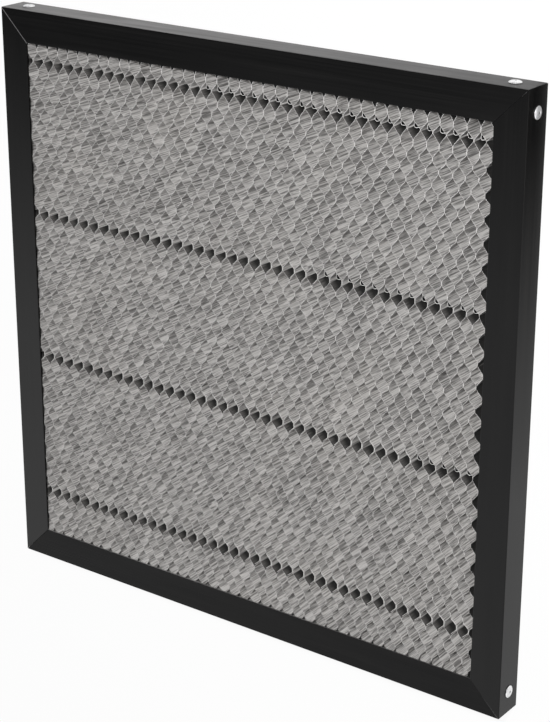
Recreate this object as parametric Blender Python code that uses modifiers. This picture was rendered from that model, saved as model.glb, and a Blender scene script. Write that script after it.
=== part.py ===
"""
Aluminium honeycomb panel: a mitred frame of black channel around a core of expanded foil.

The panel lies flat, as it does on a machine bed. X and Y run along its sides, and +Z rises out
of its front face. The origin is the centre of the back face. Every size is in metres.
"""
import math

import bmesh
import bpy
from mathutils import Matrix, Vector

# The panel, measured over the frame and not over the rivet heads
panel_width = 0.400
panel_height = 0.400
panel_depth = 0.022

# The channel that the frame is cut from
flange_width = 0.0216
flange_thickness = 0.0013
web_thickness = 0.0015
edge_radius = 0.0005
lip_radius = 0.0003
arc_steps = 2

# Gaps: between two members at a mitre, and between pieces that touch
mitre_gap = 0.0003
seat_gap = 0.0003

# The foil core. Its cells are a little over twice the real 8.9 mm, so that the grid stays light.
core_lap = 0.008
cell_width = 0.022
row_pitch_ratio = 0.837
bonded_share = 0.42
foil_thickness = 0.0005

# Rows where the glue line is short, measured from the top edge of the panel
seam_from_top = 0.033
seam_spacing = 0.1043
seam_rise_share = 0.27

# The angle bracket inside each corner
bracket_leg = 0.030
bracket_thickness = 0.0025
bracket_inner_radius = 0.0020
bracket_outer_radius = 0.0010

# The blind rivets, each a sleeve with a snapped mandrel in it
rivet_from_corner = 0.015
rivet_diameter = 0.0040
rivet_head_diameter = 0.0080
rivet_head_height = 0.0013
rivet_rim_height = 0.0003
rivet_bulb_diameter = 0.0058
rivet_bulb_length = 0.0034
rivet_hole_clearance = 0.0003
mandrel_diameter = 0.0020
mandrel_clearance = 0.0003
mandrel_recess = 0.0003
mandrel_head_diameter = 0.0036
mandrel_head_length = 0.0020
rivet_sides = 16
mandrel_sides = 12
dome_steps = 3

# Distance under which two points of one surface are the same point
weld = 0.00001

# Sizes that follow from the ones above
inside_depth = panel_depth - 2 * flange_thickness - 2 * seat_gap
mid_depth = panel_depth / 2
opening_width = panel_width - 2 * flange_width
opening_height = panel_height - 2 * flange_width
rivet_grip = web_thickness + seat_gap + bracket_thickness


def empty_the_scene():
    for item in list(bpy.data.objects):
        bpy.data.objects.remove(item, do_unlink=True)


def new_collection(name):
    group = bpy.data.collections.new(name)
    bpy.context.scene.collection.children.link(group)
    return group


def finish(item, colour, metallic, roughness):
    """Give one piece a material of its own."""
    material = bpy.data.materials.new(item.name + "_finish")
    material.use_nodes = True
    shader = material.node_tree.nodes["Principled BSDF"]
    shader.inputs["Base Color"].default_value = (*colour, 1.0)
    shader.inputs["Metallic"].default_value = metallic
    shader.inputs["Roughness"].default_value = roughness
    item.data.materials.clear()
    item.data.materials.append(material)


def rounded(corners):
    """A closed outline from (x, y, radius) corners, with an arc at each corner that has a radius."""
    outline = []
    for index, (x, y, radius) in enumerate(corners):
        corner = Vector((x, y))
        if radius == 0:
            outline.append(corner)
            continue
        back = (Vector(corners[index - 1][:2]) - corner).normalized()
        ahead = (Vector(corners[(index + 1) % len(corners)][:2]) - corner).normalized()
        half_angle = back.angle(ahead) / 2
        centre = corner + (back + ahead).normalized() * radius / math.sin(half_angle)
        start = corner + back * radius / math.tan(half_angle) - centre
        sweep = math.copysign(math.pi - 2 * half_angle, ahead.cross(back))
        for step in range(arc_steps + 1):
            turn = Matrix.Rotation(sweep * step / arc_steps, 2)
            outline.append(centre + turn @ start)
    return outline


def offset(points, distances):
    """Move each edge of a closed anticlockwise outline outward by its own distance."""
    moved = []
    for index, point in enumerate(points):
        before = (point - points[index - 1]).normalized()
        after = (points[(index + 1) % len(points)] - point).normalized()
        start = point + Vector((before.y, -before.x)) * distances[index - 1]
        goal = point + Vector((after.y, -after.x)) * distances[index]
        along = (goal - start).cross(after) / before.cross(after)
        moved.append(start + before * along)
    return moved


def extruded(name, outlines, length, placement, group):
    """A solid from closed outlines in the local XY plane, the first with the others as holes."""
    data = bpy.data.curves.new(name, 'CURVE')
    data.dimensions = '2D'
    data.fill_mode = 'BOTH'
    data.extrude = length / 2
    for outline in outlines:
        spline = data.splines.new('POLY')
        spline.points.add(len(outline) - 1)
        for point, place in zip(spline.points, outline):
            point.co = (place.x, place.y, 0, 1)
        spline.use_cyclic_u = True
    sketch = bpy.data.objects.new(name + "_sketch", data)
    sketch.matrix_world = placement
    group.objects.link(sketch)
    graph = bpy.context.evaluated_depsgraph_get()
    mesh = bpy.data.meshes.new_from_object(sketch.evaluated_get(graph))
    mesh.name = name
    shell = bmesh.new()
    shell.from_mesh(mesh)
    bmesh.ops.remove_doubles(shell, verts=shell.verts, dist=weld)
    bmesh.ops.recalc_face_normals(shell, faces=shell.faces)
    shell.to_mesh(mesh)
    shell.free()
    solid = bpy.data.objects.new(name, mesh)
    solid.matrix_world = placement
    group.objects.link(solid)
    bpy.data.objects.remove(sketch)
    return solid


def turned(name, profile, sides, closed, placement, group):
    """A solid of revolution about local Z, from a profile that runs down its outer side."""
    mesh = bpy.data.meshes.new(name)
    edges = [(index, index + 1) for index in range(len(profile) - 1)]
    if closed:
        edges.append((len(profile) - 1, 0))
    mesh.from_pydata([(radius, 0, height) for radius, height in profile], edges, [])
    solid = bpy.data.objects.new(name, mesh)
    solid.matrix_world = placement
    group.objects.link(solid)
    screw = solid.modifiers.new("turn", 'SCREW')
    screw.steps = sides
    screw.render_steps = sides
    screw.use_merge_vertices = True
    screw.merge_threshold = weld
    screw.use_smooth_shade = True
    return solid


def as_cutter(item, name, group):
    """Name a fresh primitive, and keep it out of the renders as a wire guide."""
    item.name = name
    item.hide_render = True
    item.display_type = 'WIRE'
    for owner in list(item.users_collection):
        owner.objects.unlink(item)
    group.objects.link(item)
    return item


def cut(item, cutter):
    boolean = item.modifiers.new(cutter.name, 'BOOLEAN')
    boolean.operation = 'DIFFERENCE'
    boolean.solver = 'EXACT'
    boolean.object = cutter


def side_placements():
    """Each side's name, length and placement: local X along it, local Y inward from its outer face."""
    sides = []
    spans = (("bottom", panel_width, panel_height), ("right", panel_height, panel_width),
             ("top", panel_width, panel_height), ("left", panel_height, panel_width))
    for index, (name, length, across) in enumerate(spans):
        turn = Matrix.Rotation(index * math.pi / 2, 4, 'Z')
        sides.append((name, length, turn @ Matrix.Translation((0, -across / 2, 0))))
    return sides


def rivet_stations(sides):
    """For each corner, its two rivets: a name, and a placement with local Z out of the web."""
    outward = Matrix.Rotation(math.pi / 2, 4, 'X')
    corners = [[], [], [], []]
    for index, (name, length, placement) in enumerate(sides):
        for end, corner in ((-1, index), (1, (index + 1) % 4)):
            neighbour = sides[(index + end) % 4][0]
            spot = Matrix.Translation((end * (length / 2 - rivet_from_corner), 0, mid_depth))
            corners[corner].append((f"{name}_{neighbour}", placement @ spot @ outward))
    return corners


def rivet_hole_cutters(stations, group):
    """One drill for each rivet, long enough to go through the web and the bracket behind it."""
    radius = rivet_diameter / 2 + rivet_hole_clearance
    length = 2 * (rivet_grip + rivet_head_height)
    drills = {}
    for name, placement in stations:
        bpy.ops.mesh.primitive_cylinder_add(vertices=rivet_sides, radius=radius, depth=length)
        drill = as_cutter(bpy.context.object, f"drill_{name}", group)
        drill.matrix_world = placement
        drills[name] = drill
    return drills


def channel_outline():
    """The channel's section: x inward from the outer face of the web, y up from the back face."""
    inner_top = panel_depth - flange_thickness
    return rounded([
        (0, 0, edge_radius),
        (flange_width, 0, lip_radius),
        (flange_width, flange_thickness, lip_radius),
        (web_thickness, flange_thickness, 0),
        (web_thickness, inner_top, 0),
        (flange_width, inner_top, lip_radius),
        (flange_width, panel_depth, lip_radius),
        (0, panel_depth, edge_radius),
    ])


def frame_member(name, length, placement, drills, parts, cutters):
    """One side of the frame: a length of channel, mitred at both ends and drilled for two rivets."""
    section_to_length = Matrix(((0, 0, 1, 0), (1, 0, 0, 0), (0, 1, 0, 0), (0, 0, 0, 1)))
    member = extruded(f"frame_{name}", [channel_outline()], length,
                      placement @ section_to_length, parts)
    block = 3 * flange_width
    reach = length / 2 - flange_width / 2 - mitre_gap / math.sqrt(2)
    for end, label in ((-1, "start"), (1, "end")):
        bpy.ops.mesh.primitive_cube_add(size=block)
        mitre = as_cutter(bpy.context.object, f"mitre_{name}_{label}", cutters)
        on_mitre = Matrix.Translation((end * reach, flange_width / 2, mid_depth))
        turn = Matrix.Rotation(end * math.pi / 4, 4, 'Z')
        mitre.matrix_world = placement @ on_mitre @ turn @ Matrix.Translation((end * block / 2, 0, 0))
        cut(member, mitre)
    for drill in drills:
        cut(member, drill)
    finish(member, (0.012, 0.012, 0.013), 0.0, 0.38)


def corner_bracket(name, index, drills, parts):
    """A short angle that ties two members together, held by one rivet through each of them."""
    near = web_thickness + seat_gap
    far = near + bracket_thickness
    outline = rounded([
        (near, near, bracket_outer_radius),
        (bracket_leg, near, 0),
        (bracket_leg, far, 0),
        (far, far, bracket_inner_radius),
        (far, bracket_leg, 0),
        (near, bracket_leg, 0),
    ])
    x_side = -1 if index in (0, 3) else 1
    y_side = -1 if index < 2 else 1
    corner = Matrix.Translation((x_side * panel_width / 2, y_side * panel_height / 2, mid_depth))
    turn = Matrix.Rotation(index * math.pi / 2, 4, 'Z')
    bracket = extruded(f"bracket_{name}", [outline], inside_depth, corner @ turn, parts)
    for drill in drills:
        cut(bracket, drill)
    finish(bracket, (0.55, 0.56, 0.57), 1.0, 0.45)


def rivet_profile():
    """Down the dome, under the head, along the sleeve, round the blind bulb and up the bore."""
    head = rivet_head_diameter / 2
    sleeve = rivet_diameter / 2
    bulb = rivet_bulb_diameter / 2
    bore = mandrel_diameter / 2 + mandrel_clearance
    rim = seat_gap + rivet_rim_height
    crown = rivet_head_height - rivet_rim_height
    blind = -rivet_grip - seat_gap
    first = math.asin(bore / head)
    profile = []
    for step in range(dome_steps + 1):
        angle = first + (math.pi / 2 - first) * step / dome_steps
        profile.append((head * math.sin(angle), rim + crown * math.cos(angle)))
    profile += [
        (head, seat_gap),
        (sleeve, seat_gap),
        (sleeve, blind),
        (bulb, blind - rivet_bulb_length / 4),
        (bulb, blind - rivet_bulb_length / 2),
        (sleeve, blind - rivet_bulb_length),
        (bore, blind - rivet_bulb_length),
    ]
    return profile


def mandrel_profile():
    """The snapped stem, from its broken end under the dome to the head behind the bulb."""
    stem = mandrel_diameter / 2
    head = mandrel_head_diameter / 2
    bore = stem + mandrel_clearance
    dome_at_bore = math.cos(math.asin(bore / (rivet_head_diameter / 2)))
    crown = rivet_head_height - rivet_rim_height
    top = seat_gap + rivet_rim_height + crown * dome_at_bore - mandrel_recess
    shoulder = -rivet_grip - seat_gap - rivet_bulb_length - seat_gap
    return [
        (0, top),
        (stem, top),
        (stem, shoulder),
        (head, shoulder),
        (head, shoulder - mandrel_head_length / 2),
        (0, shoulder - mandrel_head_length),
    ]


def blind_rivet(name, placement, parts):
    sleeve = turned(f"rivet_{name}", rivet_profile(), rivet_sides, True, placement, parts)
    finish(sleeve, (0.78, 0.79, 0.80), 1.0, 0.30)
    mandrel = turned(f"mandrel_{name}", mandrel_profile(), mandrel_sides, False, placement, parts)
    finish(mandrel, (0.42, 0.42, 0.43), 1.0, 0.40)


def core_rows(width, height):
    """Every row of cells from the bottom up: the x of its cells, its y, and its seam's rise."""
    slope_share = 1 - bonded_share
    columns = round(width / cell_width)
    row_count = round(height / (cell_width * row_pitch_ratio) - slope_share)
    pitch = width / columns
    row_pitch = height / (row_count + slope_share)
    middle_row = (row_count - 1) / 2
    seam_count = int((panel_height / 2 + height / 2 - seam_from_top) / seam_spacing) + 1
    seam_heights = [panel_height / 2 - seam_from_top - seam * seam_spacing for seam in range(seam_count)]
    seam_rows = {round(seam_y / row_pitch + middle_row) for seam_y in seam_heights}
    rows = []
    for row in range(row_count):
        cells = columns - row % 2
        centres = [(cell - (cells - 1) / 2) * pitch for cell in range(cells)]
        rise = row_pitch * seam_rise_share if row in seam_rows else 0
        rows.append((centres, (row - middle_row) * row_pitch, rise))
    return rows, pitch, row_pitch


def cell_corners(x, y, rise, rise_above, pitch, row_pitch):
    """The corners of a cell on the middle of the foil, anticlockwise from its lowest.

    The upright walls are two foils glued together. At a seam they start higher, which also
    draws up the peak of the cell below.
    """
    bonded = row_pitch * bonded_share
    slope = row_pitch - bonded
    half = pitch / 2
    return [
        Vector((x, y - bonded / 2 - slope)),
        Vector((x + half, y - bonded / 2 + rise)),
        Vector((x + half, y + bonded / 2)),
        Vector((x, y + bonded / 2 + slope + rise_above)),
        Vector((x - half, y + bonded / 2)),
        Vector((x - half, y - bonded / 2 + rise)),
    ]


def border_of(cells):
    """The zigzag round the outside of all cells, anticlockwise from the lowest row's left cell."""
    outline = []
    for cell in cells[0]:
        outline += [cell[5], cell[0]]
    for row in cells:
        outline += [row[-1][1], row[-1][2]]
    for cell in reversed(cells[-1]):
        outline += [cell[3], cell[4]]
    for row in reversed(cells[:-1]):
        outline += [row[0][4], row[0][5]]
    return outline[:-1]


def honeycomb_core(parts):
    """The expanded foil: rows of open cells, each row half a cell aside from the one below."""
    width = opening_width + 2 * core_lap - foil_thickness
    height = opening_height + 2 * core_lap - 2 * foil_thickness
    rows, pitch, row_pitch = core_rows(width, height)
    rises_above = [rise for _, _, rise in rows[1:]] + [0]
    cells = [[cell_corners(x, y, rise, above, pitch, row_pitch) for x in centres]
             for (centres, y, rise), above in zip(rows, rises_above)]
    border = border_of(cells)
    outlines = [offset(border, [foil_thickness / 2] * len(border))]
    single = -foil_thickness / 2
    doubled = -foil_thickness
    for row in cells:
        outlines += [offset(cell, [single, doubled, single] * 2) for cell in row]
    core = extruded("honeycomb_core", outlines, inside_depth,
                    Matrix.Translation((0, 0, mid_depth)), parts)
    finish(core, (0.60, 0.59, 0.58), 1.0, 0.42)


def main():
    empty_the_scene()
    parts = new_collection("aluminium_honeycomb_panel")
    cutters = new_collection("cutters")
    sides = side_placements()
    corners = rivet_stations(sides)
    stations = [station for pair in corners for station in pair]
    drills = rivet_hole_cutters(stations, cutters)
    for name, length, placement in sides:
        own = [drill for station, drill in drills.items() if station.startswith(name)]
        frame_member(name, length, placement, own, parts, cutters)
    corner_names = ("bottom_left", "bottom_right", "top_right", "top_left")
    for index, name in enumerate(corner_names):
        corner_bracket(name, index, [drills[station] for station, _ in corners[index]], parts)
    for name, placement in stations:
        blind_rivet(name, placement, parts)
    honeycomb_core(parts)


main()
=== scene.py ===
# %% [markdown]
# # An aluminium honeycomb panel
# A square frame of black channel holds a core of expanded foil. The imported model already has
# the frame members, brackets and rivets at their real sizes, so this script loads it first and
# hangs every finish and every finer shape on it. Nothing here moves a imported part.

import math

import bpy
from mathutils import Matrix, Vector, noise


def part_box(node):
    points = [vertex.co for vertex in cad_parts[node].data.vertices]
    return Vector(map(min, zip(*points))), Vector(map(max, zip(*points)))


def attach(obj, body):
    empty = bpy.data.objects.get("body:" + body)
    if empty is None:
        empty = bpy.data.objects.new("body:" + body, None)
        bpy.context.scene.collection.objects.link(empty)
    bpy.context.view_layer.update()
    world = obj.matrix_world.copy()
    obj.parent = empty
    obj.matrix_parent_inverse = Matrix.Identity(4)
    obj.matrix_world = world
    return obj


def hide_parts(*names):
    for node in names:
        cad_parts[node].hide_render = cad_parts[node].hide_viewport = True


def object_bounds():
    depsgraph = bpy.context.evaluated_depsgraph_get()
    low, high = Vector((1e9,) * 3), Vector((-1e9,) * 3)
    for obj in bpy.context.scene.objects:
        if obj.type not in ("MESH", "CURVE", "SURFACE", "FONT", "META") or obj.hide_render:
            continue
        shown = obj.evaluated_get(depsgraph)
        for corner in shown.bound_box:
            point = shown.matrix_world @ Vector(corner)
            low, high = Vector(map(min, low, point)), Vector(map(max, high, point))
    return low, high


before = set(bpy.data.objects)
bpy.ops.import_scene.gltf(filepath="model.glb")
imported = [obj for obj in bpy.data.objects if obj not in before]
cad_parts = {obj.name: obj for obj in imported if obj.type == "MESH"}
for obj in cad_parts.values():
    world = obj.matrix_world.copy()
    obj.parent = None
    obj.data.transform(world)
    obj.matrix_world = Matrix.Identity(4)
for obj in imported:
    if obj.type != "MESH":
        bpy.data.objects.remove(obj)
cad_low, cad_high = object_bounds()
print("packed nodes:", len(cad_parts), "box:", cad_low[:], cad_high[:])

# %% [markdown]
# The panel lies flat with its front face up. Most places below are worked out from three boxes:
# the whole panel, one frame member, and the core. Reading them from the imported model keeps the
# two halves of the work together if a size is ever changed.

# %% Read the main sizes
right_low, right_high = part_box("frame_right")
core_low, core_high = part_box("honeycomb_core")
panel_half = right_high.x
flange_width = right_high.x - right_low.x
opening_half = panel_half - flange_width
print("panel half width:", round(panel_half, 5), "opening half width:", round(opening_half, 5))
print("core from", round(core_low.z, 5), "to", round(core_high.z, 5))

# %% [markdown]
# The photograph looks down on the front face from the upper right. Its place was found from the
# four corners of the front face, whose real spacing is known, so only the lens and the place
# are left to choose. A long lens keeps the far side almost as large as the near one.

# %% Set up the camera
camera_place = (0.72067, 0.45060, 0.96333)
camera_turn_degrees = (-21.012, 36.444, 0.096)
camera_lens = 98.21

camera_data = bpy.data.cameras.new("camera")
camera_data.lens = camera_lens
camera_data.sensor_width = 36
camera_data.clip_start = 0.01
camera_data.clip_end = 50
camera = bpy.data.objects.new("camera", camera_data)
camera.location = camera_place
camera.rotation_euler = [math.radians(angle) for angle in camera_turn_degrees]
bpy.context.scene.collection.objects.link(camera)
bpy.context.scene.camera = camera
print("camera is", round(camera.location.length, 3), "m from the panel")

# %% [markdown]
# Materials are built from nodes, and a few short helpers keep that readable. One adds a node
# and fills its sockets with values or links, and the others wrap what every finish needs:
# a stretched noise, a change of range, and a mix of two colours.

# %% Helpers for node materials
def add_node(tree, kind, inputs=None, **settings):
    """Add a node, set its properties, and fill its sockets with values or links."""
    made = tree.nodes.new(kind)
    for key, value in settings.items():
        setattr(made, key, value)
    for socket, value in (inputs or {}).items():
        if isinstance(value, bpy.types.NodeSocket):
            tree.links.new(value, made.inputs[socket])
        else:
            made.inputs[socket].default_value = value
    return made


def new_finish(name, metallic, specular=0.5):
    """A material with an empty Principled shader: the finish's tree, shader and object coordinates."""
    material = bpy.data.materials.new(name)
    material.use_nodes = True
    tree = material.node_tree
    shader = tree.nodes["Principled BSDF"]
    shader.inputs["Metallic"].default_value = metallic
    shader.inputs["Specular IOR Level"].default_value = specular
    place = add_node(tree, "ShaderNodeTexCoord").outputs["Object"]
    return material, tree, shader, place


def stretched_noise(tree, place, scale, detail=2.0):
    """Noise whose grain is set along each axis, in waves to the metre."""
    mapping = add_node(tree, "ShaderNodeMapping", {"Vector": place, "Scale": scale})
    grain = add_node(tree, "ShaderNodeTexNoise",
                     {"Vector": mapping.outputs["Vector"], "Scale": 1.0, "Detail": detail})
    return grain.outputs["Fac"]


def ranged(tree, value, from_range, to_range):
    """Carry a value from one range to another, and hold it there."""
    made = add_node(tree, "ShaderNodeMapRange", {
        "Value": value, "From Min": from_range[0], "From Max": from_range[1],
        "To Min": to_range[0], "To Max": to_range[1]})
    return made.outputs["Result"]


def calculated(tree, operation, first, second=0.0):
    made = add_node(tree, "ShaderNodeMath", {0: first, 1: second}, operation=operation)
    return made.outputs["Value"]


def mixed(tree, amount, first, second):
    """A colour between two, each a colour or a socket."""
    first, second = [(*tone, 1.0) if isinstance(tone, tuple) else tone for tone in (first, second)]
    made = add_node(tree, "ShaderNodeMix", {0: amount, 6: first, 7: second}, data_type='RGBA')
    return made.outputs[2]


def rough_surface(tree, shader, height, distance):
    """Let a noise raise and lower the surface by a distance."""
    bump = add_node(tree, "ShaderNodeBump", {"Height": height, "Distance": distance, "Strength": 1.0})
    tree.links.new(bump.outputs["Normal"], shader.inputs["Normal"])


print("node helpers are ready")

# %% [markdown]
# The surround in the photograph is plain white. The floor is a pale matt sheet that takes light
# and shadow. The Light Path node tells apart what each ray is for: the camera sees the sheet
# mostly swapped for an even white, and reflections see it partly swapped. The rest of the matt
# sheet stays, so a faint shadow is left on it, and the dark under the panel stays dark.
# Just right of the panel's head the reflections see a dark strip painted on the floor, a painted
# reflection with nothing lying there: it makes the right side of the frame nearly black at its
# head and grey lower down. The strip is narrow, so the domed rivets still catch the white beyond it.

# %% Lay the floor
floor_size = 24.0
white_to_camera = 0.95
white_to_reflections = 0.60
# Painted reflection: a strip of floor that only reflections see dark, with nothing lying there.
dark_reflection_near_edge = (0.19, 0.205)
dark_reflection_far_edge = (0.225, 0.26)
dark_reflection_fade = (-0.06, 0.17)
matt_pale = (0.80, 0.80, 0.80)
matt_painted_reflection = (0.04, 0.04, 0.04)
glowing_white = (1.0, 1.0, 1.0)
glowing_painted_reflection = (0.05, 0.05, 0.05)
floor_gap = 0.0002

floor_mesh = bpy.data.meshes.new("floor")
edge = floor_size / 2
floor_mesh.from_pydata([(-edge, -edge, 0), (edge, -edge, 0), (edge, edge, 0), (-edge, edge, 0)],
                       [], [(0, 1, 2, 3)])
floor = bpy.data.objects.new("floor", floor_mesh)
floor.location.z = cad_low.z - floor_gap
bpy.context.scene.collection.objects.link(floor)

floor_finish = bpy.data.materials.new("pale_floor")
floor_finish.use_nodes = True
tree = floor_finish.node_tree
tree.nodes.clear()
ray = add_node(tree, "ShaderNodeLightPath").outputs
reflected = calculated(tree, 'ADD', ray["Is Glossy Ray"], ray["Is Transmission Ray"])
white_share = calculated(tree, 'ADD', ranged(tree, ray["Is Camera Ray"], (0, 1), (0, white_to_camera)),
                         ranged(tree, reflected, (0, 1), (0, white_to_reflections)))
spot = add_node(tree, "ShaderNodeTexCoord").outputs["Object"]
spot = add_node(tree, "ShaderNodeSeparateXYZ", {0: spot}).outputs
# Where the painted reflection lies: dark for reflections only, near the right of the panel's head.
beside = calculated(tree, 'MULTIPLY', ranged(tree, spot["X"], dark_reflection_near_edge, (0.0, 1.0)),
                    ranged(tree, spot["X"], dark_reflection_far_edge, (1.0, 0.0)))
near_head = ranged(tree, spot["Y"], dark_reflection_fade, (0.0, 1.0))
painted_reflection_share = calculated(tree, 'MULTIPLY', calculated(tree, 'MULTIPLY', beside, near_head), reflected)
matt_tone = mixed(tree, painted_reflection_share, matt_pale, matt_painted_reflection)
white_tone = mixed(tree, painted_reflection_share, glowing_white, glowing_painted_reflection)
matt = add_node(tree, "ShaderNodeBsdfDiffuse", {"Color": matt_tone})
white = add_node(tree, "ShaderNodeEmission", {"Color": white_tone, "Strength": 1.0})
blend = add_node(tree, "ShaderNodeMixShader",
                 {0: white_share, 1: matt.outputs[0], 2: white.outputs[0]})
add_node(tree, "ShaderNodeOutputMaterial", {"Surface": blend.outputs[0]})
floor_mesh.materials.append(floor_finish)
print("floor lies at", round(floor.location.z, 5))

# %% [markdown]
# A black finish shows what it reflects, so the sky of the studio matters as much as the lamp.
# The panel is pictured as if it stood on its lower edge on a white table, so the sky is pale
# toward the foot of the panel and falls to a dark grey toward its head. The lower and the left
# member then reflect the pale part and the upper member stays nearly black. Only reflections see
# this grading. The camera sees plain white beyond the floor, and the light that the sky gives is
# an even dark grey.

# %% Shade the studio sky
sky_at_foot = 1.3
sky_at_head = 0.05
sky_light = 0.14
foot_direction = (0.0, -1.0, 0.0)
sky_edge = (0.205, 0.325)

world = bpy.data.worlds.new("studio")
world.use_nodes = True
bpy.context.scene.world = world
tree = world.node_tree
direction = add_node(tree, "ShaderNodeTexCoord").outputs["Generated"]
toward_foot = add_node(tree, "ShaderNodeVectorMath", {0: direction, 1: foot_direction},
                       operation='DOT_PRODUCT').outputs["Value"]
graded = ranged(tree, toward_foot, sky_edge, (sky_at_head, sky_at_foot))
ray = add_node(tree, "ShaderNodeLightPath").outputs
seen = calculated(tree, 'MAXIMUM', ray["Is Camera Ray"], ray["Is Transmission Ray"])
plain_strength = ranged(tree, seen, (0.0, 1.0), (sky_light, 1.0))
matt_share = ranged(tree, ray["Is Glossy Ray"], (0.0, 1.0), (1.0, 0.0))
strength = calculated(tree, 'ADD', calculated(tree, 'MULTIPLY', graded, ray["Is Glossy Ray"]),
                      calculated(tree, 'MULTIPLY', plain_strength, matt_share))
background = tree.nodes["Background"]
background.inputs["Color"].default_value = (1, 1, 1, 1)
tree.links.new(strength, background.inputs["Strength"])
bpy.context.scene.view_settings.view_transform = 'Standard'
print("sky strength from head to foot:", sky_at_head, sky_at_foot)

# %% [markdown]
# The walls of the cells are lit evenly right down to where they pass out of sight. Only the
# steep upper left walls are dark, since they hang over and face away. So the lamp is small and
# stands a little to the left of the viewer and nearer the head of the panel.

# %% Hang the lamp
lamp_place = Vector((0.60, 0.58, 1.00))
lamp_size = 0.12
lamp_watts = 20.0

lamp_data = bpy.data.lights.new("studio_lamp", 'AREA')
lamp_data.size = lamp_size
lamp_data.energy = lamp_watts
lamp = bpy.data.objects.new("studio_lamp", lamp_data)
lamp.location = lamp_place
lamp.rotation_euler = (-lamp_place).to_track_quat('-Z', 'Y').to_euler()
bpy.context.scene.collection.objects.link(lamp)
print("lamp is away from the panel by", round(lamp_place.length, 3))

# %% [markdown]
# The channel is extruded aluminium, anodised black. Drawing leaves faint lines along its length,
# and the dye is never quite even. Noise stretched along one axis makes the lines, so members that
# run along X and along Y need a grain each. The saw bares metal along the mitres, shown by
# a narrow band where the distances from the two middle lines are the same. It is brightest at the
# upper left corner, faint at the next two, and worn pale at the very tip of the lower right one.
# The side at the head of the panel is painted pale, a painted light for the light that falls on it,
# most of all toward its left end, and its gloss is dulled. The other sides are faintly streaked
# brown. The members differ in gleam and in depth of dye; the dye of each member is partly painted
# shade, set for the light on its side.

# %% Mix the black anodised finish
black_dye = (0.0045, 0.0045, 0.0047)
worn_dye = (0.011, 0.0107, 0.0107)
painted_head_light = (0.25, 0.244, 0.243)
# Painted light: the pale tone laid on the side at the head of the panel.
side_streak = (0.014, 0.0128, 0.012)
bare_metal = (0.36, 0.36, 0.36)
mitre_band = 0.00045
worn_tip = 0.03


def black_anodised(name, along_x, tone, gleam):
    material, tree, shader, place = new_finish(name, 0.0, gleam)
    fine = (6, 900, 900) if along_x else (900, 6, 900)
    broad = (14, 160, 160) if along_x else (160, 14, 160)
    lines = stretched_noise(tree, place, fine, 3.0)
    bands = stretched_noise(tree, place, broad, 2.0)
    patches = stretched_noise(tree, place, (9, 9, 9), 1.0)
    both = calculated(tree, 'MULTIPLY', ranged(tree, bands, (0.3, 0.7), (0.2, 1.0)),
                      ranged(tree, lines, (0.3, 0.7), (0.3, 1.0)))
    dark, worn = [tuple(value * tone for value in dye) for dye in (black_dye, worn_dye)]
    colour = mixed(tree, both, dark, worn)

    axes = add_node(tree, "ShaderNodeSeparateXYZ", {0: place}).outputs
    facing = add_node(tree, "ShaderNodeNewGeometry").outputs["True Normal"]
    facing = add_node(tree, "ShaderNodeSeparateXYZ", {0: facing}).outputs
    on_head_side = ranged(tree, facing["Y"], (0.85, 0.95), (0.0, 1.0))
    on_any_side = ranged(tree, facing["Z"], (0.3, 0.7), (1.0, 0.0))
    streaked = calculated(tree, 'MULTIPLY', on_any_side,
                          ranged(tree, lines, (0.45, 0.75), (0.0, 0.6)))
    colour = mixed(tree, streaked, colour, side_streak)
    # Painted light on the head side, paler toward its left end, mixed with the grain.
    toward_left = ranged(tree, axes["X"], (-panel_half, panel_half), (1.0, 0.25))
    head_light_share = calculated(tree, 'MULTIPLY', toward_left, ranged(tree, both, (0.1, 0.6), (0.5, 1.0)))
    colour = mixed(tree, calculated(tree, 'MULTIPLY', on_head_side, head_light_share), colour, painted_head_light)
    across = calculated(tree, 'ABSOLUTE', axes["X"])
    up = calculated(tree, 'ABSOLUTE', axes["Y"])
    off_mitre = calculated(tree, 'ABSOLUTE', calculated(tree, 'SUBTRACT', across, up))
    on_mitre = ranged(tree, off_mitre, (0.0, mitre_band), (1.0, 0.0))
    toward_corner = calculated(tree, 'SUBTRACT', axes["Y"], axes["X"])
    bared = ranged(tree, toward_corner, (0.1, 2 * opening_half), (0.05, 1.0))
    worn_end = ranged(tree, toward_corner, (-2 * panel_half, worn_tip - 2 * panel_half), (0.5, 0.0))
    bared = calculated(tree, 'MAXIMUM', bared, worn_end)
    colour = mixed(tree, calculated(tree, 'MULTIPLY', on_mitre, bared), colour, bare_metal)
    tree.links.new(colour, shader.inputs["Base Color"])

    gloss = calculated(tree, 'ADD', ranged(tree, patches, (0.3, 0.7), (0.16, 0.22)),
                       ranged(tree, lines, (0.3, 0.7), (0.0, 0.06)))
    gloss = calculated(tree, 'ADD', gloss, ranged(tree, on_head_side, (0.0, 1.0), (0.0, 0.25)))
    tree.links.new(gloss, shader.inputs["Roughness"])
    rough_surface(tree, shader, lines, 0.00002)
    return material


# Each member's tone is partly painted shade: the dye is made deeper or paler per member for the light on
# its side.
member_looks = {"bottom": (0.75, 0.10), "top": (0.55, 0.17), "left": (0.20, 0.27),
                "right": (0.42, 0.185)}
for name, (tone, gleam) in member_looks.items():
    along_x = name in ("bottom", "top")
    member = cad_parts[f"frame_{name}"]
    member.data.materials.clear()
    member.data.materials.append(black_anodised(f"anodised_{name}", along_x, tone, gleam))
print("anodised members:", len(member_looks))

# %% [markdown]
# The angle brackets inside the corners are cut from plain aluminium angle. Nobody sees them from
# the front, yet they show through the mitre and from inside, so they get a brushed grey metal.

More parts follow.
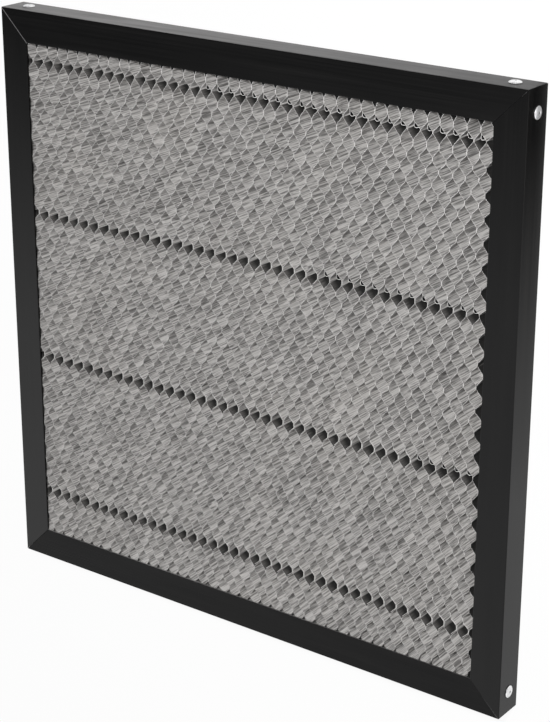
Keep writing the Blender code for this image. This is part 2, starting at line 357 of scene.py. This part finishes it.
# %% Finish the corner brackets
def brushed_aluminium(name):
    material, tree, shader, place = new_finish(name, 1.0)
    lines = stretched_noise(tree, place, (700, 700, 30), 3.0)
    patches = stretched_noise(tree, place, (60, 60, 60), 2.0)
    colour = mixed(tree, ranged(tree, patches, (0.3, 0.7), (0.0, 1.0)),
                   (0.50, 0.50, 0.51), (0.62, 0.62, 0.62))
    tree.links.new(colour, shader.inputs["Base Color"])
    tree.links.new(ranged(tree, lines, (0.3, 0.7), (0.35, 0.55)), shader.inputs["Roughness"])
    rough_surface(tree, shader, lines, 0.00003)
    return material


bracket_finish = brushed_aluminium("bracket_aluminium")
brackets = [node for name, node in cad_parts.items() if name.startswith("bracket_")]
for bracket in brackets:
    bracket.data.materials.clear()
    bracket.data.materials.append(bracket_finish)
print("brackets finished:", len(brackets))

# %% [markdown]
# A blind rivet is a soft aluminium sleeve with a steel pin through it. Pulling the pin swells
# the far end and snaps the pin inside the dome. Both are turned shapes, so half an outline is
# drawn and a Screw modifier spins it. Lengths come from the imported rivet's own box.

# %% Turn a half outline into a solid
def turned(name, outline, closed, place, outward):
    """Spin (radius, height) points about an axis that leaves the panel at a place."""
    mesh = bpy.data.meshes.new(name)
    edges = [(index, index + 1) for index in range(len(outline) - 1)]
    if closed:
        edges.append((len(outline) - 1, 0))
    mesh.from_pydata([(radius, 0, height) for radius, height in outline], edges, [])
    piece = bpy.data.objects.new(name, mesh)
    piece.matrix_world = Matrix.Translation(place) @ outward.to_track_quat('Z', 'Y').to_matrix().to_4x4()
    bpy.context.scene.collection.objects.link(piece)
    spin = piece.modifiers.new("turn", 'SCREW')
    spin.steps = 64
    spin.render_steps = 64
    spin.use_merge_vertices = True
    spin.merge_threshold = 0.00001
    spin.use_smooth_shade = True
    return piece


def arc(centre, radii, start_degrees, end_degrees, steps):
    """Points on an ellipse round a centre, angles measured from the radius axis."""
    points = []
    for step in range(steps + 1):
        angle = math.radians(start_degrees + (end_degrees - start_degrees) * step / steps)
        points.append((centre[0] + radii[0] * math.cos(angle), centre[1] + radii[1] * math.sin(angle)))
    return points


print("turning tools are ready")

# %% [markdown]
# Heights in the outline are measured down from the top of the dome. The dome is a flat cap with
# a rolled rim, the sleeve is straight, and the swollen end is a smooth bulb. The pin sits in the
# bore with its broken end just below the dome, which is the dark spot seen in each head.

# %% Draw the rivet and its pin
head_height = 0.0013
rim_height = 0.0003
sleeve_radius = 0.0020
bulb_radius = 0.0029
bulb_length = 0.0034
bore_radius = 0.0011
pin_radius = 0.0010
pin_head_radius = 0.0018


def rivet_outline(head_radius, length):
    crown = head_height - rim_height
    roll = rim_height / 2
    dome = arc((0, -head_height), (head_radius, head_height), 74, 12, 14)
    rim = arc((head_radius - roll, -head_height + roll), (roll, roll), 20, -90, 6)
    bulb_middle = -length + bulb_length / 2
    bulb = arc((sleeve_radius, bulb_middle), (bulb_radius - sleeve_radius, bulb_length / 2), 90, -90, 12)
    return dome + rim + [(sleeve_radius, -head_height)] + bulb + [(bore_radius, -length)]


def pin_outline(length):
    broken_end = [(0, -0.00015), (0.0004, -0.00010), (0.0007, -0.00018), (pin_radius, -0.00025)]
    neck = pin_head_radius * 1.1
    head = arc((0, -length + neck), (pin_head_radius, neck), 0, -90, 8)
    return broken_end + [(pin_radius, -length + neck)] + head


print("rivet outline points:", len(rivet_outline(0.004, 0.0096)))

# %% [markdown]
# The rivet metal is bright, lightly scuffed aluminium. The pin is dull steel with a torn end.
# Both take a fine noise on colour and gloss, because a mirror-clean rivet would look like a toy.

# %% Mix the rivet and pin metals
def scuffed_metal(name, metallic, dark, light, gloss_range, depth):
    material, tree, shader, place = new_finish(name, metallic)
    scuffs = stretched_noise(tree, place, (1500, 1500, 1500), 3.0)
    patches = stretched_noise(tree, place, (300, 300, 300), 2.0)
    tree.links.new(mixed(tree, ranged(tree, patches, (0.3, 0.7), (0.0, 1.0)), dark, light),
                   shader.inputs["Base Color"])
    tree.links.new(ranged(tree, scuffs, (0.3, 0.7), gloss_range), shader.inputs["Roughness"])
    rough_surface(tree, shader, scuffs, depth)
    return material


rivet_finish = scuffed_metal("rivet_aluminium", 0.7, (0.76, 0.76, 0.77), (0.90, 0.90, 0.90),
                             (0.24, 0.42), 0.00003)
pin_finish = scuffed_metal("pin_steel", 1.0, (0.22, 0.22, 0.23), (0.42, 0.42, 0.42),
                           (0.35, 0.60), 0.00004)
print("metals:", rivet_finish.name, pin_finish.name)

# %% [markdown]
# One rivet near each end of each member holds it to the bracket in that corner. Its place could
# be typed in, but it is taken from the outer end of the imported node, so that the head stays
# seated on the channel. Each rivet points out of its own side of the frame.

# %% Set the eight rivets
outward_of = {"bottom": Vector((0, -1, 0)), "right": Vector((1, 0, 0)),
              "top": Vector((0, 1, 0)), "left": Vector((-1, 0, 0))}


def outer_end(node, outward):
    """The middle of a node's outermost end, its length outward, and its radius."""
    low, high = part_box(node)
    middle = (low + high) / 2
    length = abs((high - low).dot(outward))
    across = (high - low) - outward * (high - low).dot(outward)
    return middle + outward * length / 2, length, across.z / 2


def dress(piece, node, finish):
    piece.data.materials.append(finish)
    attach(piece, "root")
    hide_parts(node)


rivet_nodes = sorted(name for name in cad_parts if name.startswith("rivet_"))
for node in rivet_nodes:
    station = node.removeprefix("rivet_")
    outward = outward_of[station.split("_")[0]]
    place, length, radius = outer_end(node, outward)
    sleeve = turned(f"blind_rivet_{station}", rivet_outline(radius, length), True, place, outward)
    dress(sleeve, node, rivet_finish)
    place, length, radius = outer_end(f"mandrel_{station}", outward)
    pin = turned(f"rivet_pin_{station}", pin_outline(length), False, place, outward)
    dress(pin, f"mandrel_{station}", pin_finish)
print("rivets set:", len(rivet_nodes))

# %% [markdown]
# The core is a stack of flat foil strips, glued to each other along staggered lines and then
# pulled apart like a paper lantern. Each strip ends up as a zigzag that runs from the top of the
# panel to the bottom, glued to its left neighbour in one row and to its right one in the next.
# So the core is built as the real strips, and the hexagonal cells appear between them. A seam
# shifts the foot of its own walls and the top of the walls below it, most at the uppermost one.

# %% Set out the glue lines and rows
line_pitch = 0.004458
row_pitch = 0.007463
strip_count = 82
row_count = 48
wall_half = 0.0015
first_line = opening_half + 0.0043
first_row = opening_half - 0.0044
foil_thickness = 0.00014
glue_gap = 0.00001
seam_rises = {1: (0.0020, 0.0010), 15: (0.0, -0.0004), 29: (-0.0002, -0.0004),
              43: (-0.0007, -0.0008)}
top_row_rise = 0.0006
above_top_row = (0.0038, 0.0025)


def wall_of(strip, row):
    """Where a strip's glued wall stands in a row: its x, its top and its foot."""
    on_right_line = (strip + row) % 2 == 1
    line = strip if on_right_line else strip + 1
    aside = (foil_thickness + glue_gap) / 2
    x = first_line - line * line_pitch + (-aside if on_right_line else aside)
    y = first_row - row * row_pitch
    foot = y - wall_half + seam_rises.get(row, (0, 0))[0]
    top = y + wall_half + seam_rises.get(row - 1, (0, 0))[1]
    if row == 0:
        top += top_row_rise
    if row == -1:
        foot += above_top_row[0]
        top += above_top_row[1]
    return x, top, foot


print("glue lines:", strip_count + 1, "rows:", row_count)

# %% [markdown]
# Foil can't take a sharp corner, so each bend of the zigzag gets four points on a small curve,
# and each straight stretch a point in its middle for the later dents. A curve takes at most
# 0.45 of a stretch, so two curves never meet on a short one. Every point also carries
# a glue value. It is 1 on the slants of the four seam rows, where two blocks of core were joined,
# and on the slants under the upper flange and at the right border: they are coated on the side
# that looks up, and under the flange and at the border that coat is a painted shadow of the frame.
# It is 2 on the walls of the cut cells along the right border, painted dark all over as the
# frame's shadow. A crease value marks the points inside a bend, which get painted shade. A further
# value tells which cut edges get a painted highlight: near the head those of the slants that
# fall to the left, near the foot the others.

# %% Draw the zigzag of one strip
bend = 0.0013
bend_steps = 3
longest_bend_share = 0.45


def painted_glint_of(stretch, y):
    """How much painted highlight the cut edge of a downward stretch gets, by its lean and its height."""
    lean = max(-1.0, min(1.0, stretch.x / wall_half))
    return 0.6 - 0.4 * lean * max(-1.0, min(1.0, y / opening_half))


def strip_path(strip):
    """Points (x, y, glue, crease, painted highlight) down a strip, from under the top flange to the
    bottom one.
    """
    corners = []
    for row in range(-2, row_count + 2):
        x, top, foot = wall_of(strip, row)
        at_border = strip < 2 and row % 2 == 1
        slant_glue = 1.0 if at_border or row < 0 or row in seam_rises else 0.0
        corners += [(Vector((x, top)), 2.0 if at_border else 0.0), (Vector((x, foot)), slant_glue)]
    path = []
    for index in range(1, len(corners) - 1):
        corner, glue = corners[index]
        back = corners[index - 1][0] - corner
        ahead = corners[index + 1][0] - corner
        before = corner + back.normalized() * min(bend, longest_bend_share * back.length)
        after = corner + ahead.normalized() * min(bend, longest_bend_share * ahead.length)
        glue_before = corners[index - 1][1]
        glint_before, glint_after = painted_glint_of(-back, corner.y), painted_glint_of(ahead, corner.y)
        for step in range(bend_steps + 1):
            share = step / bend_steps
            spot = before.lerp(corner, share).lerp(corner.lerp(after, share), share)
            crease = 1.0 if 0 < step < bend_steps else 0.0
            glue_here, glint_here = (glue, glint_after) if share > 0.5 else (glue_before, glint_before)
            path.append((*spot, glue_here, crease, glint_here))
        middle = (corner + corners[index + 1][0]) / 2
        path.append((*middle, glue, 0.0, glint_after))
    low, high = core_low.y, core_high.y
    return [point for point in path if low < point[1] < high]


print("points down a strip:", len(strip_path(0)))

# %% [markdown]
# A stretched core is never regular: it drifts by up to a millimetre over the panel, each cell
# opens by its own amount, and the walls lean through the depth. One smooth displacement field
# does all of it. Because every strip is moved by the same field, glued walls stay together and
# no strip cuts another. The noise takes its seed from the clock unless it is given one, so it is
# given one, and the core comes out the same each time.

# %% Pull the core out of true
shift_right = -0.00024
spread_right = 0.00045
swing_left = 0.00097
swell_right = 0.00072
shift_up = 0.00025
tilt_down = 0.00066
squeeze_down = 0.00102
bow_up = 0.00050
dent = 0.0008
dent_waves = 105.0
dent_depth_ratio = 0.6
dent_seed = 7
noise.seed_set(dent_seed)


def pulled(x, y, z):
    """Where a point of a perfectly even core ends up."""
    across, up = x / opening_half, y / opening_half
    wave_across, wave_up = math.cos(math.pi * across), math.cos(math.pi * up)
    right = shift_right + spread_right * across - swing_left * up ** 3
    right += swell_right * wave_across * wave_up
    rise = shift_up - tilt_down * across - squeeze_down * up + bow_up * wave_across
    where = Vector((x * dent_waves, y * dent_waves, z * dent_waves * dent_depth_ratio))
    own = noise.noise_vector(where) * dent
    return x + right + own.x, y + rise + own.y, z


print("moved corner:", [round(value, 5) for value in pulled(0.1, 0.1, 0.01)])

# %% [markdown]
# A strip is a sheet: the zigzag repeated at a few depths, with faces between. The Solidify
# modifier then gives it thickness. The foil here is about twice as thick as real foil, which
# is still thinner than a pixel, and it keeps the cut front edges from flickering. The Edge Split
# modifier keeps the cut edges square, so smooth shading bends round the zigzag but not over them.

# %% Make a sheet from a path
depth_levels = 4
crisp_angle_degrees = 50


def foil_sheet(name, paths, thickness):
    """One object of thin sheets, each following a path in the plane and as deep as the core."""
    points, faces, sources = [], [], []
    for path in paths:
        first, count = len(points), len(path)
        for level in range(depth_levels):
            z = core_low.z + (core_high.z - core_low.z) * level / (depth_levels - 1)
            points += [pulled(point[0], point[1], z) for point in path]
            sources += path
        for level in range(depth_levels - 1):
            for step in range(count - 1):
                corner = first + level * count + step
                faces.append((corner, corner + 1, corner + count + 1, corner + count))
    mesh = bpy.data.meshes.new(name)
    mesh.from_pydata(points, [], faces)
    for label, column in (("glue", 2), ("crease", 3), ("painted_glint", 4)):
        values = [point[column] for point in sources]
        mesh.attributes.new(label, 'FLOAT', 'POINT').data.foreach_set("value", values)
    mesh.polygons.foreach_set("use_smooth", [True] * len(faces))
    sheet = bpy.data.objects.new(name, mesh)
    bpy.context.scene.collection.objects.link(sheet)
    solid = sheet.modifiers.new("thickness", 'SOLIDIFY')
    solid.thickness = thickness
    solid.offset = 0
    crisp = sheet.modifiers.new("crisp cut edges", 'EDGE_SPLIT')
    crisp.split_angle = math.radians(crisp_angle_degrees)
    return sheet


print("levels through the depth:", depth_levels)

# %% [markdown]
# The foil is raw mill-finish aluminium. Rolling and cutting leave streaks through the depth of
# the core, and each wall catches the light a little differently. The foil is painted a touch paler
# toward the foot of the panel, a painted light for the light that falls there, and the creases of
# the bends get painted shade. The cut edges at the front are bright, and some of them, chosen by
# their lean and height, get a painted highlight. Where the glue attribute is set, the face that
# looks up the panel has a coat. In the seam rows it is grey near the front and darkens deeper in,
# which is painted shade; under the upper flange and at the right border it is nearly black, a
# painted shadow of the frame. The mouths of the cells that run under the lower flange are painted
# dark too, as the shadow of that flange.

# %% Mix the foil finish
foil_dark = (0.13, 0.125, 0.121)
foil_light = (0.74, 0.721, 0.705)
painted_fold_shade = (0.06, 0.058, 0.056)
# Painted highlight colour for the cut edges picked by lean and height.
painted_cut_highlight = (0.92, 0.91, 0.90)
glue_dark = (0.006, 0.0055, 0.005)
glue_light = (0.125, 0.119, 0.114)
flange_shade = (0.003, 0.003, 0.003)
warm_foil = (0.72, 0.68, 0.63)
# Depths over which the coat goes from grey to dark: painted shade.
coat_shade_depth = (core_high.z - 0.0060, core_high.z - 0.0008)
mouth_shade_depth = (core_high.z - 0.0026, core_high.z - 0.0014)
last_row = first_row - (row_count - 1) * row_pitch

foil_finish, tree, shader, place = new_finish("core_foil", 0.35)
streaks = stretched_noise(tree, place, (1700, 1700, 40), 2.0)
walls = stretched_noise(tree, place, (120, 120, 30), 1.0)
patches = stretched_noise(tree, place, (18, 18, 18), 2.0)
shade = calculated(tree, 'ADD', ranged(tree, streaks, (0.38, 0.57), (0.03, 0.80)),
                   ranged(tree, walls, (0.34, 0.60), (0.0, 0.12)))
axes = add_node(tree, "ShaderNodeSeparateXYZ", {0: place}).outputs
# Painted light: the foil is made paler toward the foot of the panel.
painted_light_below = ranged(tree, axes["Y"], (-opening_half, opening_half), (0.06, 0.0))
shade = calculated(tree, 'ADD', shade, painted_light_below)
colour = mixed(tree, shade, foil_dark, foil_light)
colour = mixed(tree, ranged(tree, patches, (0.5, 0.8), (0.0, 0.12)), colour, warm_foil)
facing = add_node(tree, "ShaderNodeNewGeometry").outputs["True Normal"]
facing = add_node(tree, "ShaderNodeSeparateXYZ", {0: facing}).outputs
# Painted shade in the creases of the bends.
crease = add_node(tree, "ShaderNodeAttribute", attribute_name="crease").outputs["Fac"]
folds = stretched_noise(tree, place, (150, 150, 25), 1.0)
fold_shade_share = calculated(tree, 'MULTIPLY', ranged(tree, crease, (0.4, 1.0), (0.0, 1.0)),
                    ranged(tree, folds, (0.42, 0.58), (0.05, 0.25)))
colour = mixed(tree, fold_shade_share, colour, painted_fold_shade)
front_cut = ranged(tree, facing["Z"], (0.6, 0.8), (0.0, 1.0))
# Painted highlight on some cut edges, by their lean and height.
painted_glint = add_node(tree, "ShaderNodeAttribute", attribute_name="painted_glint").outputs["Fac"]
cut_colour = mixed(tree, painted_glint, foil_light, painted_cut_highlight)
colour = mixed(tree, front_cut, colour, cut_colour)
glue = add_node(tree, "ShaderNodeAttribute", attribute_name="glue").outputs["Fac"]
coated = calculated(tree, 'MULTIPLY', ranged(tree, glue, (0.3, 0.7), (0.0, 1.0)),
                    ranged(tree, facing["Y"], (0.1, 0.3), (0.0, 1.0)))
coated = calculated(tree, 'MAXIMUM', coated, ranged(tree, glue, (1.2, 1.6), (0.0, 1.0)))
# Painted shade: the coat is darker deeper in.
near_front = ranged(tree, axes["Z"], coat_shade_depth, (0.0, 1.0))
coat_tone = calculated(tree, 'MULTIPLY', near_front, ranged(tree, streaks, (0.35, 0.65), (0.3, 1.0)))
# Painted shadow of the frame: at the right border the coat is nearly black.
off_border = ranged(tree, axes["X"], (opening_half - 0.0075, opening_half - 0.0055), (1.0, 0.0))
coat_colour = mixed(tree, calculated(tree, 'MULTIPLY', coat_tone, off_border), glue_dark, glue_light)
# Painted shadow of the upper flange on the coat under it.
under_flange = ranged(tree, axes["Y"], (first_row + 0.0010, first_row + 0.0020), (0.0, 1.0))
coat_colour = mixed(tree, under_flange, coat_colour, flange_shade)
colour = mixed(tree, coated, colour, coat_colour)
# Painted shadow of the lower flange in the mouths of the cells under it.
low_down = ranged(tree, axes["Y"], (last_row - 0.0002, last_row + 0.0010), (1.0, 0.0))
painted_mouth_shade = calculated(tree, 'MULTIPLY', low_down, ranged(tree, axes["Z"], mouth_shade_depth, (0.0, 1.0)))
painted_mouth_shade = calculated(tree, 'MULTIPLY', painted_mouth_shade, ranged(tree, facing["Y"], (0.1, 0.3), (1.0, 0.0)))
colour = mixed(tree, painted_mouth_shade, colour, glue_dark)
tree.links.new(colour, shader.inputs["Base Color"])
bare = calculated(tree, 'MAXIMUM', calculated(tree, 'MAXIMUM', coated, painted_mouth_shade), front_cut)
tree.links.new(ranged(tree, bare, (0.0, 1.0), (0.35, 0.0)), shader.inputs["Metallic"])
gloss = calculated(tree, 'ADD', ranged(tree, streaks, (0.3, 0.7), (0.45, 0.62)),
                   ranged(tree, coated, (0.0, 1.0), (0.0, 0.3)))
tree.links.new(gloss, shader.inputs["Roughness"])
rough_surface(tree, shader, streaks, 0.00040)
print("foil finish:", foil_finish.name)

# %% [markdown]
# The strips are made one after another, from the right border to the left. They could be joined
# into one mesh, but each stays an object of its own, as in the real stack. All of them together
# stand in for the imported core.

# %% Stand the strips side by side
for strip in range(strip_count):
    sheet = foil_sheet(f"foil_strip_{strip:02d}", [strip_path(strip)], foil_thickness)
    dress(sheet, "honeycomb_core", foil_finish)
print("foil strips:", strip_count)

# %% [markdown]
# At the seams a small lap of foil is folded under the upper right wall of many cells. One face
# of each lap takes a near-black finish, a painted shade for the dark slot behind it. The laps are
# found toward the right and die out lower down, so each seam has its own place where they start.
# In the three lower seams the cells without a lap have a bead along their right side, where the
# edges of the two blocks meet. The laps of a seam are one object, and so are its beads.

# %% Fold the laps and beads at the seams
lap_thickness = 0.00022
lap_starts_at = {1: -0.03, 15: 0.06, 29: 0.13}
bead_thickness = {15: 0.00014, 29: 0.00020, 43: 0.00028}
bead_corners = ((0.0004, 0.0052), (0.0040, 0.0016), (0.0041, 0.0), (0.0040, -0.0016),
                (0.0004, -0.0052))
lap_start = Vector((0.0006, 0.0049))
lap_bulge = Vector((0.0, 0.0007))
lap_end = Vector((0.0035, 0.0023))
lap_steps = 8

# Painted shade: a near-black finish for the dark slot behind each lap.
painted_slot_shade, tree, shader, place = new_finish("lap_slot_painted_shade", 0.0, 0.2)
slot_grain = stretched_noise(tree, place, (900, 900, 45))
tree.links.new(mixed(tree, slot_grain, (0.002, 0.002, 0.002), (0.006, 0.006, 0.006)),
               shader.inputs["Base Color"])
tree.links.new(ranged(tree, slot_grain, (0.3, 0.7), (0.6, 0.8)), shader.inputs["Roughness"])


def lap_path(x, y):
    """A short bulging curve under the upper right wall of the cell centred on x, y."""
    path = []
    for step in range(lap_steps + 1):
        share = step / lap_steps
        spot = lap_start.lerp(lap_bulge, share).lerp(lap_bulge.lerp(lap_end, share), share)
        path.append((x + spot.x, y + spot.y, 0.0, 0.0, 1.0))
    return path


def cells_of(row):
    """The middles of a row's whole cells, from right to left."""
    y = first_row - row * row_pitch
    lines = [line for line in range(3, strip_count) if (line + row) % 2 == 0]
    return [(first_line - line * line_pitch, y) for line in lines]


for row, starts_at in lap_starts_at.items():
    paths = [lap_path(x, y) for x, y in cells_of(row) if x > starts_at]
    laps = foil_sheet(f"seam_laps_{row}", paths, lap_thickness)
    dress(laps, "honeycomb_core", foil_finish)
    laps.data.materials.append(painted_slot_shade)
    laps.modifiers["thickness"].material_offset = 1
for row, thickness in bead_thickness.items():
    bare_from = lap_starts_at.get(row, panel_half)
    paths = [[(x + aside, y + up, 0.0, 0.0, 0.0) for aside, up in bead_corners]
             for x, y in cells_of(row) if x <= bare_from]
    beads = foil_sheet(f"seam_beads_{row}", paths, thickness)
    dress(beads, "honeycomb_core", foil_finish)
print("seam rows with laps:", len(lap_starts_at), "and with beads:", len(bead_thickness))
